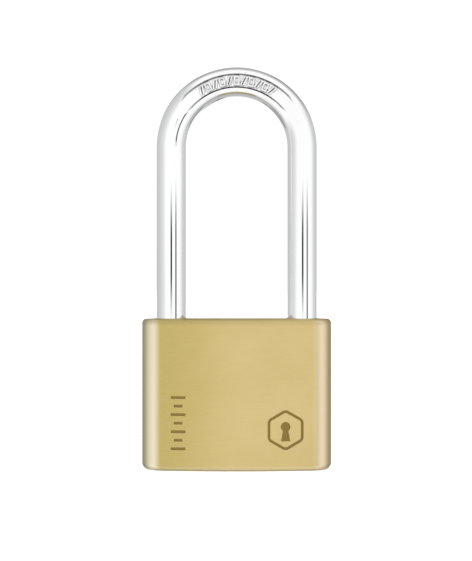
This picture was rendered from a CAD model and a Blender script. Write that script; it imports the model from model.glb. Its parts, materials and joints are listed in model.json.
import json
import math

import bmesh
import bpy
from mathutils import Matrix, Vector


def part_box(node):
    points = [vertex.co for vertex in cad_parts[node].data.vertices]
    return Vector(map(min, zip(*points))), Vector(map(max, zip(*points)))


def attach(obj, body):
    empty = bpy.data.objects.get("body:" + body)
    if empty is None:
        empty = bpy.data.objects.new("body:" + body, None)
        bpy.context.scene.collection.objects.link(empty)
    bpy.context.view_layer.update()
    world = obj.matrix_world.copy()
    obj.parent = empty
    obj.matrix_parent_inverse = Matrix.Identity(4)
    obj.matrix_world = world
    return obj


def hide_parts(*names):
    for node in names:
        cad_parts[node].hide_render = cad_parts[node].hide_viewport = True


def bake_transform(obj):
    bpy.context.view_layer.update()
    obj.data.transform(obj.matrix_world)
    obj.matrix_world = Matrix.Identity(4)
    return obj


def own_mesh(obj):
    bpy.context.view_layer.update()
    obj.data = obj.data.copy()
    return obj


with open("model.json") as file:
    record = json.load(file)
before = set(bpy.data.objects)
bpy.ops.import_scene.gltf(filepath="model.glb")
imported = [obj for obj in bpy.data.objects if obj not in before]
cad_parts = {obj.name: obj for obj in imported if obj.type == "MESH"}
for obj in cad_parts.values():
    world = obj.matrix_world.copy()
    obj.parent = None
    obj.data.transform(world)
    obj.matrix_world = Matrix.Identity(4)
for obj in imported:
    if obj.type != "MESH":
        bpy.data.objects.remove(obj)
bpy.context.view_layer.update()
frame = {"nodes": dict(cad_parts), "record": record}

MM = 0.001

# ------------------------------------------------------------------ places from the frame

BODY_HIGH = Vector(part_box("body_block")[1])
SHACKLE_HIGH = Vector(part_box("shackle")[1])
BODY_TOP = BODY_HIGH.z
HALF_WIDTH = BODY_HIGH.x

# The body's two faces bulge on this radius.
FACE_RADIUS = 140.0 * MM
HALF_THICKNESS = 7.5 * MM

BAR_RADIUS = 4.0 * MM
LEG_X = SHACKLE_HIGH.x - BAR_RADIUS
ARCH_CENTRE_Z = SHACKLE_HIGH.z - BAR_RADIUS - LEG_X

CAMERA_PLACE = (-0.175 * MM, -375.0 * MM, 49.75 * MM)
CAMERA_LENS = 91.0


# ------------------------------------------------------------------ node helpers


class Graph:
    """A small helper that adds shader nodes and joins them."""

    def __init__(self, tree):
        self.tree = tree
        tree.nodes.clear()

    def add(self, kind, **settings):
        node = self.tree.nodes.new(kind)
        for key, value in settings.items():
            setattr(node, key, value)
        return node

    def put(self, value, socket):
        """Join an output to an input, or set the input's own value."""
        if isinstance(value, bpy.types.NodeSocket):
            self.tree.links.new(value, socket)
        else:
            socket.default_value = value

    def math(self, operation, a, b=0.0, c=0.0):
        node = self.add("ShaderNodeMath", operation=operation)
        for value, socket in zip((a, b, c), node.inputs):
            self.put(value, socket)
        return node.outputs[0]

    def remap(self, value, low, high, to_low=0.0, to_high=1.0, smooth=True):
        node = self.add("ShaderNodeMapRange")
        node.interpolation_type = "SMOOTHSTEP" if smooth else "LINEAR"
        for given, socket in zip((value, low, high, to_low, to_high), node.inputs):
            self.put(given, socket)
        return node.outputs[0]

    def mix(self, factor, a, b, blend="MIX"):
        node = self.add("ShaderNodeMix", data_type="RGBA", blend_type=blend)
        self.put(factor, node.inputs[0])
        self.put(a, node.inputs[6])
        self.put(b, node.inputs[7])
        return node.outputs[2]

    def place(self):
        """The object's own coordinates, in metres, and their three parts."""
        whole = self.add("ShaderNodeTexCoord").outputs["Object"]
        parts = self.add("ShaderNodeSeparateXYZ")
        self.put(whole, parts.inputs[0])
        return whole, parts.outputs

    def noise(self, place, stretch, detail=3.0, rough=0.55):
        """Noise with this many waves per metre along each axis."""
        scaled = self.add("ShaderNodeMapping")
        self.put(place, scaled.inputs["Vector"])
        scaled.inputs["Scale"].default_value = stretch
        texture = self.add("ShaderNodeTexNoise")
        texture.inputs["Scale"].default_value = 1.0
        texture.inputs["Detail"].default_value = detail
        texture.inputs["Roughness"].default_value = rough
        self.put(scaled.outputs[0], texture.inputs["Vector"])
        return texture.outputs["Fac"]

    def bump(self, height, depth, strength):
        """A bump of this real depth in metres."""
        node = self.add("ShaderNodeBump")
        node.inputs["Strength"].default_value = strength
        node.inputs["Distance"].default_value = depth
        self.put(height, node.inputs["Height"])
        return node.outputs[0]


def new_material(name):
    """A metal with an empty Principled shader: the material, its graph and the shader."""
    material = bpy.data.materials.new(name)
    material.use_nodes = True
    graph = Graph(material.node_tree)
    shader = graph.add("ShaderNodeBsdfPrincipled")
    shader.inputs["Metallic"].default_value = 1.0
    output = graph.add("ShaderNodeOutputMaterial")
    graph.put(shader.outputs[0], output.inputs[0])
    return material, graph, shader


def grey(value):
    """A neutral colour."""
    return (value, value, value, 1.0)


# ------------------------------------------------------------------ materials

FACE_BRASS = (0.685, 0.53, 0.238, 1.0)
SHADE_BRASS = (0.53, 0.415, 0.143, 1.0)
PALE_BRASS = (0.93, 0.87, 0.64, 1.0)
WARM_BRASS = (0.84, 0.69, 0.48, 1.0)
EDGE_BRASS = (0.33, 0.28, 0.12, 1.0)
MARK_BRASS = (0.27, 0.19, 0.05, 1.0)

# Where the brass changes tone: the shaded left, the linished band on the corners, the
# darker edge outside it, the top rim and the foot.
SHADE_END = -0.80 * HALF_WIDTH
FACE_START = 0.15 * HALF_WIDTH
BAND_SHIFT = 0.08 * MM
BAND_START = 19.6 * MM
BAND_FULL = 22.0 * MM
EDGE_START = 22.7 * MM
EDGE_FULL = 24.8 * MM
SIDE_MIDDLE = 0.4 * MM
SIDE_OUTER = 2.2 * MM
RIM_START = BODY_TOP - 2.1 * MM
RIM_FULL = BODY_TOP - 0.3 * MM
FOOT_FULL = 0.4 * MM
FOOT_END = 1.5 * MM

# The engraved marks are on the front, between these heights and no further out than this.
MARKS_REACH = 19.0 * MM
MARKS_FRONT = -5.0 * MM
MARKS_MIDDLE = 14.0 * MM
MARKS_HALF_HEIGHT = 10.0 * MM


def body_brass(name, seam=None):
    """Satin brass, finely brushed along X, paler on the linished corners, dark in the marks.

    seam is (height, pitch, radius) of the stoppers dressed flush with the side, whose
    outline shows as a thin darker ring.
    """
    material, g, shader = new_material(name)
    place, (x, y, z) = g.place()
    cloud = g.noise(place, (70, 70, 90), 3.0)
    streak = g.noise(place, (260, 2500, 5200), 2.0, 0.6)
    tone = g.remap(x, SHADE_END, FACE_START)
    colour = g.mix(tone, SHADE_BRASS, FACE_BRASS)
    colour = g.mix(g.remap(cloud, 0.35, 0.7, 0.0, 0.25), colour, SHADE_BRASS)
    colour = g.mix(g.remap(streak, 0.35, 0.65, 0.0, 0.05), colour, PALE_BRASS)

    # Paler on the rounded corners, darker on the narrow sides and round the top.
    across = g.math("ABSOLUTE", x)
    shifted = g.math("ABSOLUTE", g.math("ADD", x, BAND_SHIFT))
    band = g.remap(shifted, BAND_START, BAND_FULL)
    pale = g.mix(g.remap(x, -1.0 * MM, 1.0 * MM), PALE_BRASS, WARM_BRASS)
    colour = g.mix(g.math("MULTIPLY", band, 0.9), colour, pale)
    edge = g.remap(across, EDGE_START, EDGE_FULL)
    side = g.remap(g.math("ABSOLUTE", y), SIDE_MIDDLE, SIDE_OUTER, 0.3, 0.8)
    colour = g.mix(g.math("MULTIPLY", edge, side), colour, EDGE_BRASS)
    rim = g.remap(z, RIM_START, RIM_FULL)
    colour = g.mix(g.math("MULTIPLY", rim, 0.5), colour, EDGE_BRASS)
    foot = g.remap(z, FOOT_FULL, FOOT_END, 1.0, 0.0)
    colour = g.mix(g.math("MULTIPLY", foot, 0.35), colour, PALE_BRASS)

    # Dark where the surface lies under the bulged front face, which is in the marks.
    squared = g.math("MULTIPLY", x, x)
    arc = g.math("SQRT", g.math("SUBTRACT", FACE_RADIUS**2, squared))
    surface = g.math("SUBTRACT", arc, FACE_RADIUS - HALF_THICKNESS)
    depth = g.math("ADD", y, surface)
    marked = g.remap(depth, 0.06 * MM, 0.16 * MM)
    inside = g.math("LESS_THAN", across, MARKS_REACH)
    front = g.math("LESS_THAN", y, MARKS_FRONT)
    marked = g.math("MULTIPLY", g.math("MULTIPLY", marked, inside), front)
    low = g.math("COMPARE", z, MARKS_MIDDLE, MARKS_HALF_HEIGHT)
    marked = g.math("MULTIPLY", marked, low)
    colour = g.mix(marked, colour, MARK_BRASS)
    if seam:
        height, pitch, radius = seam
        rise = g.math("WRAP", g.math("SUBTRACT", z, height), pitch / 2, -pitch / 2)
        squares = g.math("ADD", g.math("MULTIPLY", y, y), g.math("MULTIPLY", rise, rise))
        ring = g.remap(g.math("SQRT", squares), radius - 0.16 * MM, radius - 0.02 * MM)
        colour = g.mix(g.math("MULTIPLY", ring, 0.7), colour, MARK_BRASS)
    g.put(colour, shader.inputs["Base Color"])

    rough = g.remap(streak, 0.3, 0.7, 0.34, 0.44, smooth=False)
    g.put(rough, shader.inputs["Roughness"])
    g.put(g.bump(streak, 0.004 * MM, 0.32), shader.inputs["Normal"])
    return material


TURNED_BRIGHT = (0.62, 0.48, 0.20)
TURNED_DULL = (0.42, 0.31, 0.11)


def turned_brass(name, tone):
    """Brass from the lathe, with fine rings and a slight tarnish; tone scales its colour."""
    material, g, shader = new_material(name)
    place, _ = g.place()
    rings = g.noise(place, (900, 900, 5200), 2.0)
    cloud = g.noise(place, (220, 220, 220), 3.0)
    bright = tuple(tone * c for c in TURNED_BRIGHT) + (1.0,)
    dull = tuple(tone * c for c in TURNED_DULL) + (1.0,)
    colour = g.mix(g.remap(cloud, 0.35, 0.7), bright, dull)
    g.put(colour, shader.inputs["Base Color"])
    g.put(g.remap(rings, 0.3, 0.7, 0.22, 0.36), shader.inputs["Roughness"])
    g.put(g.bump(rings, 0.006 * MM, 0.5), shader.inputs["Normal"])
    return material


CHROME = grey(0.86)
CHROME_COOL = (0.90, 0.905, 0.91, 1.0)
CROWN_LIGHT = grey(0.93)
CROWN_DULL = grey(0.72)
CROWN_WALL = grey(0.30)

# The crown's band starts this high over the arch's centre, and its satin part is higher.
CROWN_LOW = 0.45 * LEG_X
SATIN_START = 0.80 * LEG_X
SATIN_FULL = 0.84 * LEG_X


def polished_chrome():
    """Bright chrome plate, satin and darker in the corners of the pressed crown."""
    material, g, shader = new_material("shackle_chrome")
    place, (x, y, z) = g.place()
    wave = g.noise(place, (90, 90, 12), 2.0)
    haze = g.noise(place, (1500, 1500, 300), 3.0)
    blotch = g.noise(place, (900, 900, 900), 3.0)
    colour = g.mix(g.remap(wave, 0.3, 0.7), CHROME, CHROME_COOL)

    # How far a point is under the round bar, and how far across the bar it is.
    rise = g.math("SUBTRACT", z, ARCH_CENTRE_Z)
    squares = g.math("ADD", g.math("MULTIPLY", x, x), g.math("MULTIPLY", rise, rise))
    across = g.math("SUBTRACT", g.math("SQRT", squares), LEG_X)
    left = g.math("SUBTRACT", BAR_RADIUS**2, g.math("MULTIPLY", across, across))
    skin = g.math("SQRT", g.math("MAXIMUM", left, 0.0))
    under = g.math("ADD", skin, y)
    on_arch = g.math("GREATER_THAN", rise, CROWN_LOW)
    in_front = g.math("LESS_THAN", y, -0.5 * BAR_RADIUS)
    sunk = g.remap(under, 0.02 * MM, 0.10 * MM)
    sunk = g.math("MULTIPLY", sunk, g.math("MULTIPLY", on_arch, in_front))
    wall = g.remap(g.math("ABSOLUTE", across), 1.25 * MM, 1.6 * MM)
    pressed = g.remap(rise, SATIN_START, SATIN_FULL)
    floor_tone = g.mix(g.remap(blotch, 0.4, 0.62), CROWN_LIGHT, CROWN_DULL)
    floor_tone = g.mix(pressed, colour, floor_tone)
    crown = g.mix(wall, floor_tone, CROWN_WALL)
    colour = g.mix(sunk, colour, crown)
    corner = g.add("ShaderNodeAmbientOcclusion", samples=16, only_local=True)
    corner.inputs["Distance"].default_value = 0.5 * MM
    shadow = g.remap(corner.outputs["AO"], 0.35, 0.85, 0.04, 1.0)
    shadow = g.mix(sunk, grey(1.0), g.mix(shadow, grey(0.0), grey(1.0)))
    colour = g.mix(1.0, colour, shadow, "MULTIPLY")
    g.put(colour, shader.inputs["Base Color"])

    plate = g.remap(haze, 0.35, 0.75, 0.02, 0.05)
    rough = g.mix(g.math("MULTIPLY", sunk, pressed), plate, grey(0.20))
    g.put(rough, shader.inputs["Roughness"])
    g.put(g.bump(wave, 0.02 * MM, 0.35), shader.inputs["Normal"])
    return material


def ground_steel(name, value):
    """Ground or drawn steel with fine marks along the piece."""
    material, g, shader = new_material(name)
    place, _ = g.place()
    lines = g.noise(place, (4200, 4200, 700), 3.0)
    cloud = g.noise(place, (260, 260, 260), 3.0)
    light = grey(value * 1.15)
    dark = (value * 0.8, value * 0.79, value * 0.77, 1.0)
    g.put(g.mix(g.remap(cloud, 0.35, 0.7), light, dark), shader.inputs["Base Color"])
    g.put(g.remap(lines, 0.3, 0.7, 0.26, 0.42), shader.inputs["Roughness"])
    g.put(g.bump(lines, 0.004 * MM, 0.5), shader.inputs["Normal"])
    return material


MATERIALS = {
    "body_brass": body_brass("body_brass"),
    "plug_brass": turned_brass("plug_brass", 0.95),
    "pin_brass": turned_brass("pin_brass", 1.1),
    "shackle_chrome": polished_chrome(),
    "works_steel": ground_steel("works_steel", 0.50),
    "spring_steel": ground_steel("spring_steel", 0.40),
}

SLOT_OF = {part["node"]: part["material_slot"] for part in frame["record"]["subparts"]}


def finish_node(name, material):
    """Give a CAD node a detailed material in place of its plain one."""
    slots = frame["nodes"][name].data.materials
    slots.clear()
    slots.append(material)


def middle(node):
    """The middle of a node's box."""
    low, high = (Vector(v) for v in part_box(node))
    return (low + high) / 2


def half_height(node):
    """Half the height of a node's box, which is the radius of a rod lying along X."""
    low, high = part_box(node)
    return (high[2] - low[2]) / 2


for node_name in frame["nodes"]:
    finish_node(node_name, MATERIALS[SLOT_OF[node_name]])

# The stoppers are the body's brass with their seams. The bolts' bore has only one, so its
# pitch is set longer than the lock.
CHAMBERS = 5
FIRST_STOPPER = middle("chamber_plug_1").z
CHAMBER_PITCH = middle("chamber_plug_2").z - FIRST_STOPPER
NO_PITCH = 1.0
chamber_seam = (FIRST_STOPPER, CHAMBER_PITCH, half_height("chamber_plug_1"))
chamber_brass = body_brass("chamber_plug_brass", chamber_seam)
bolt_seam = (middle("bolt_bore_plug").z, NO_PITCH, half_height("bolt_bore_plug"))
for number in range(1, CHAMBERS + 1):
    finish_node(f"chamber_plug_{number}", chamber_brass)
finish_node("bolt_bore_plug", body_brass("bolt_bore_plug_brass", bolt_seam))

# ------------------------------------------------------------------ springs

WIRE_SIDES = 12
STEPS_PER_TURN = 30
CLOSED_TURNS = 1.0

LIFT_WIRE = 0.8 * MM
LIFT_RADIUS = 2.9 * MM
LIFT_TURNS = 7
LIFT_LENGTH = 9.0 * MM
PIN_WIRE = 0.3 * MM
PIN_RADIUS = 1.15 * MM
PIN_TURNS = 9


def coil_mesh(name, wire, radius, turns, length):
    """A round-wire spring standing on Z = 0, its first and last turns closed up."""
    rise = length - wire
    open_turns = turns - 2 * CLOSED_TURNS
    open_pitch = (rise - 2 * CLOSED_TURNS * wire) / open_turns

    def height(turn):
        closed = min(turn, CLOSED_TURNS) + max(0.0, turn - CLOSED_TURNS - open_turns)
        opened = min(max(turn - CLOSED_TURNS, 0.0), open_turns)
        return wire / 2 + closed * wire + opened * open_pitch

    net = bmesh.new()
    rings = []
    steps = int(turns * STEPS_PER_TURN)
    for i in range(steps + 1):
        turn = turns * i / steps
        angle = 2 * math.pi * turn
        out = Vector((math.cos(angle), math.sin(angle), 0.0))
        slope = (height(turn + 0.01) - height(turn - 0.01)) / 0.02
        along = Vector((-out.y * radius, out.x * radius, slope / (2 * math.pi))).normalized()
        side = along.cross(out)
        centre = out * radius + Vector((0.0, 0.0, height(turn)))
        ring = []
        for k in range(WIRE_SIDES):
            spin = 2 * math.pi * k / WIRE_SIDES
            offset = out * math.cos(spin) + side * math.sin(spin)
            ring.append(net.verts.new(centre + offset * wire / 2))
        rings.append(ring)
    for one, two in zip(rings, rings[1:]):
        for k in range(WIRE_SIDES):
            n = (k + 1) % WIRE_SIDES
            net.faces.new((one[k], one[n], two[n], two[k]))
    net.faces.new(rings[0])
    net.faces.new(reversed(rings[-1]))
    bmesh.ops.recalc_face_normals(net, faces=net.faces)
    for face in net.faces:
        face.smooth = len(face.verts) == 4
    mesh = bpy.data.meshes.new(name)
    net.to_mesh(mesh)
    net.free()
    return mesh


def add_spring(name, node, mesh, turned):
    """A detailed spring in place of a CAD one, and that one's box; turned lays it along X."""
    low, high = (Vector(v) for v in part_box(node))
    centre = (low + high) / 2
    if turned:
        mesh.transform(Matrix.Rotation(math.radians(90), 4, "Y"))
        mesh.transform(Matrix.Translation((low.x, centre.y, centre.z)))
    else:
        mesh.transform(Matrix.Translation((centre.x, centre.y, low.z)))
    spring = bpy.data.objects.new(name, mesh)
    bpy.context.scene.collection.objects.link(spring)
    mesh.materials.append(MATERIALS["spring_steel"])
    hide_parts(node)
    return spring, low, high


# The lift spring stretches from the bottom of its bore to the shackle's heel.
lift_mesh = coil_mesh("lift_spring", LIFT_WIRE, LIFT_RADIUS, LIFT_TURNS, LIFT_LENGTH)
lift_spring, spring_low, spring_high = add_spring(
    "lift_spring", "shackle_spring", lift_mesh, False
)
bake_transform(lift_spring)

# Each driver spring stands on its stopper and shortens as its pin slides out.
for number in range(1, CHAMBERS + 1):
    name = f"pin_spring_{number}"
    node = f"driver_spring_{number}"
    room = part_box(node)[1][0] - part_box(node)[0][0]
    mesh = coil_mesh(name, PIN_WIRE, PIN_RADIUS, PIN_TURNS, room)
    spring, spring_low, spring_high = add_spring(name, node, mesh, True)
    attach(spring, "lock_body")
    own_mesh(spring)

# ------------------------------------------------------------------ stage


# The floor is this far under the lock, glows a little so that no hard shadow shows, and is
# this wide.
FLOOR_DROP = -0.02 * MM
FLOOR_GLOW = 0.7
FLOOR_RADIUS = 6.0


def make_floor():
    """A plain pale floor under the lock, clear when seen from underneath."""
    mesh = bpy.data.meshes.new("floor")
    net = bmesh.new()
    bmesh.ops.create_circle(net, cap_ends=True, radius=FLOOR_RADIUS, segments=96)
    net.to_mesh(mesh)
    net.free()
    floor = bpy.data.objects.new("floor", mesh)
    bpy.context.scene.collection.objects.link(floor)
    material, g, shader = new_material("floor_white")
    place, _ = g.place()
    cloud = g.noise(place, (3, 3, 3), 2.0)
    g.put(g.mix(cloud, grey(0.90), grey(0.92)), shader.inputs["Base Color"])
    shader.inputs["Metallic"].default_value = 0.0
    shader.inputs["Roughness"].default_value = 0.9
    shader.inputs["Specular IOR Level"].default_value = 0.1
    shader.inputs["Emission Color"].default_value = grey(1.0)
    shader.inputs["Emission Strength"].default_value = FLOOR_GLOW
    output = next(n for n in material.node_tree.nodes if n.type == "OUTPUT_MATERIAL")
    sides = g.add("ShaderNodeMixShader")
    g.put(g.add("ShaderNodeNewGeometry").outputs["Backfacing"], sides.inputs[0])
    g.put(shader.outputs[0], sides.inputs[1])
    g.put(g.add("ShaderNodeBsdfTransparent").outputs[0], sides.inputs[2])
    g.put(sides.outputs[0], output.inputs[0])
    mesh.materials.append(material)
    floor.location.z = FLOOR_DROP
    floor.visible_glossy = False


def ramp(g, value, stops):
    """A smooth grey ramp over 0 to 1; the stops are (place, brightness)."""
    node = g.add("ShaderNodeValToRGB")
    node.color_ramp.interpolation = "EASE"
    band = node.color_ramp.elements
    band[0].position, band[0].color = stops[0][0], grey(stops[0][1])
    band[1].position, band[1].color = stops[-1][0], grey(stops[-1][1])
    for position, brightness in stops[1:-1]:
        band.new(position).color = grey(brightness)
    g.put(value, node.inputs[0])
    return node.outputs[0]


# The ramps hold at most 1, so they are divided by the studio's strength. The backdrop that
# the camera sees has its own.
STUDIO_LIGHT = 2.0
BACKDROP_LIGHT = 1.1

# Where the right and the left ramps hold, in degrees round from straight up, and how soft
# their ends are.
RIGHT_SIDE = (45, 118, 22)
LEFT_SIDE = (-118, -22, 22)

# The studio round the lock. Each ramp goes from straight in front, by 0, to straight
# behind, by 180 degrees, over the left, the top, the right or the bottom.
STUDIO_LEFT = (
    (0, 1.13), (34, 1.13), (42, 1.07), (51, 0.95), (64, 0.83),
    (88, 0.72), (108, 0.66), (140, 0.60), (158, 1.15), (180, 1.25),
)
STUDIO_TOP = (
    (0, 1.13), (92, 1.13), (106, 0.74), (120, 0.46), (142, 0.48), (160, 1.15), (180, 1.25),
)
STUDIO_RIGHT = (
    (0, 1.13), (60, 1.13), (76, 1.05), (92, 0.80), (106, 0.70),
    (122, 0.64), (140, 0.62), (158, 1.15), (180, 1.25),
)
STUDIO_BOTTOM = (
    (0, 1.13), (74, 1.13), (86, 0.84), (97, 0.50), (110, 0.54),
    (134, 0.60), (150, 1.15), (180, 1.2),
)

# The dark gaps between the lights, in degrees: middle and half width round the horizon
# from straight in front, top and bottom over the horizon, and then how dark, up to 1. The
# first two face the lock's front, the others its back.
GAP_SOFT_TOP = 2.6
GAP_SOFT_BOTTOM = 2.4
STUDIO_GAPS = (
    (2.5, 8.0, 4.3, -2.0, 0.99),
    (37.5, 6.5, 4.5, -33.0, 0.9),
    (127.0, 8.0, -12.0, -38.0, 0.5),
    (-122.0, 9.0, -12.0, -38.0, 0.5),
    (164.0, 7.0, -9.0, -38.0, 0.85),
    (-146.0, 5.5, -9.0, -38.0, 0.85),
    (160.0, 8.0, 38.0, 12.0, 0.8),
    (-158.0, 6.0, 38.0, 12.0, 0.8),
)


def window(g, value, low, high, soft):
    """1 between two angles in degrees, falling softly to 0 at both."""
    rise = g.remap(value, math.radians(low), math.radians(low + soft))
    fall = g.remap(value, math.radians(high - soft), math.radians(high), 1.0, 0.0)
    return g.math("MULTIPLY", rise, fall)


def make_world():
    """A white studio, brightest in front, with narrow dark gaps between its lights."""
    world = bpy.data.worlds.new("studio")
    bpy.context.scene.world = world
    world.use_nodes = True
    g = Graph(world.node_tree)
    way = g.add("ShaderNodeTexCoord").outputs["Generated"]
    parts = g.add("ShaderNodeSeparateXYZ")
    g.put(way, parts.inputs[0])
    x, y, z = parts.outputs
    forward = g.math("MULTIPLY", y, -1.0)
    off_front = g.math("DIVIDE", g.math("ARCCOSINE", forward), math.pi)
    clock = g.math("ARCTAN2", x, z)
    sides = [
        ramp(g, off_front, [(angle / 180, value / STUDIO_LIGHT) for angle, value in stops])
        for stops in (STUDIO_LEFT, STUDIO_TOP, STUDIO_RIGHT, STUDIO_BOTTOM)
    ]
    left, top, right, bottom = sides
    around = g.mix(g.remap(z, -0.2, 0.1, 1.0, 0.0), top, bottom)
    around = g.mix(window(g, clock, *RIGHT_SIDE), around, right)
    around = g.mix(window(g, clock, *LEFT_SIDE), around, left)

    azimuth = g.math("ARCTAN2", x, forward)
    degree = math.radians(1.0)
    for centre, half, upper, lower, depth in STUDIO_GAPS:
        off = g.math("ABSOLUTE", g.math("SUBTRACT", azimuth, centre * degree))
        wide = g.remap(off, 0.5 * half * degree, half * degree, 1.0, 0.0)
        high = g.remap(z, (upper - GAP_SOFT_TOP) * degree, upper * degree, 1.0, 0.0)
        deep = g.remap(z, lower * degree, (lower + GAP_SOFT_BOTTOM) * degree)
        gap = g.math("MULTIPLY", g.math("MULTIPLY", wide, high), deep)
        dark = g.math("SUBTRACT", 1.0, g.math("MULTIPLY", gap, depth))
        around = g.mix(1.0, around, g.mix(dark, grey(0.0), grey(1.0)), "MULTIPLY")

    lit = g.add("ShaderNodeBackground")
    lit.inputs["Strength"].default_value = STUDIO_LIGHT
    g.put(around, lit.inputs["Color"])
    seen = g.add("ShaderNodeBackground")
    seen.inputs["Color"].default_value = grey(1.0)
    seen.inputs["Strength"].default_value = BACKDROP_LIGHT
    pick = g.add("ShaderNodeMixShader")
    g.put(g.add("ShaderNodeLightPath").outputs["Is Camera Ray"], pick.inputs[0])
    g.put(lit.outputs[0], pick.inputs[1])
    g.put(seen.outputs[0], pick.inputs[2])
    output = g.add("ShaderNodeOutputWorld")
    g.put(pick.outputs[0], output.inputs[0])


def make_floor_light():
    """A broad soft light from above that whitens the floor alone."""
    light = bpy.data.lights.new("floor_light", "SUN")
    light.energy = 2.6
    light.angle = math.radians(70)
    lamp = bpy.data.objects.new("floor_light", light)
    lamp.rotation_euler = (math.radians(-12), 0.0, 0.0)
    lamp.visible_glossy = False
    bpy.context.scene.collection.objects.link(lamp)


def make_camera():
    """A level camera straight in front of the lock."""
    camera = bpy.data.cameras.new("camera")
    camera.lens = CAMERA_LENS
    holder = bpy.data.objects.new("camera", camera)
    holder.location = CAMERA_PLACE
    holder.rotation_euler = (math.radians(90), 0.0, 0.0)
    bpy.context.scene.collection.objects.link(holder)
    bpy.context.scene.camera = holder


make_floor()
make_world()
make_floor_light()
make_camera()
bpy.context.scene.view_settings.view_transform = "Standard"
